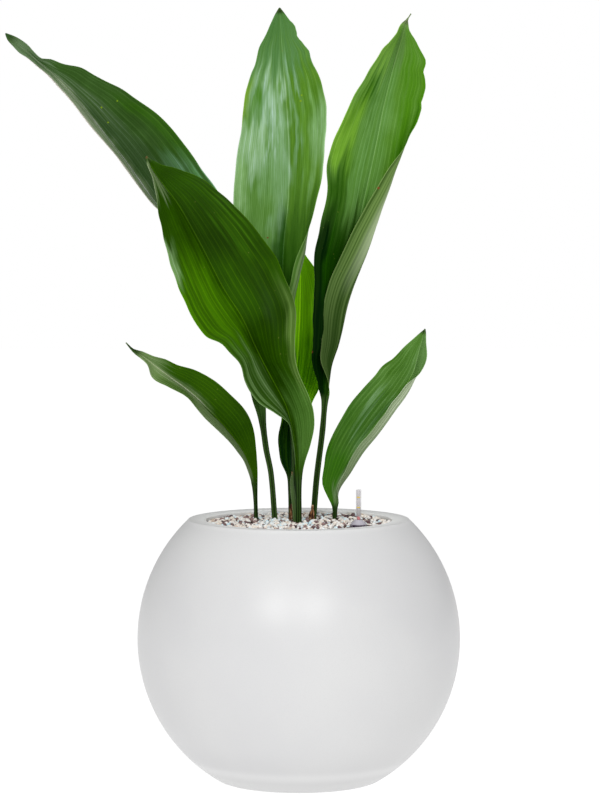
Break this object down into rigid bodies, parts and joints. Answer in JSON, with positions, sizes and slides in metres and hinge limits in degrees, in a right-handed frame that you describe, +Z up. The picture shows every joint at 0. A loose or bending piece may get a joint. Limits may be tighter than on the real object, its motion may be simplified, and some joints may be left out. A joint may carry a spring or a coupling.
{
  "type": "potted cast iron plant",
  "caption": "Cast iron plant with long pointed leaves on slender stalks, in mineral granulate in a round matt planter with a water level gauge.",
  "frame": {"origin": "centre of the planter's flat base", "axes": "+Z up through the planter to the leaf tips, -Y to the front, +X to the viewer's right"},
  "size_m": [0.4847, 0.3396, 0.815],
  "materials": {
    "planter": "matt, light grey white",
    "granulate": "rough mixed gravel in cream, pale blue and purple brown",
    "rootstock": "rough and ringed",
    "leaf_dark": "satin deep green with fine lengthwise veins",
    "leaf_mid": "satin green with fine lengthwise veins",
    "leaf_pale": "satin green with a pale sheen",
    "shoot": "satin pale green",
    "sheath": "dry and papery",
    "gauge_clear": "clear",
    "gauge_red": "satin",
    "gauge_collar": "clear grey lilac"
  },
  "bodies": {
    "root": {"pot": "planter", "granulate": "granulate", "rootstock": "rootstock", "leaf_front": "leaf_dark", "leaf_tall": "leaf_pale", "leaf_back_left": "leaf_dark", "leaf_behind": "leaf_mid", "leaf_right": "leaf_mid", "leaf_low_left": "leaf_dark", "leaf_low_right": "leaf_mid", "young_shoot": "shoot", "sheath_middle": "sheath", "sheath_right": "sheath", "gauge_tube": "gauge_clear", "gauge_float": "gauge_red", "gauge_collar": "gauge_collar"}
  },
  "joints": []
}
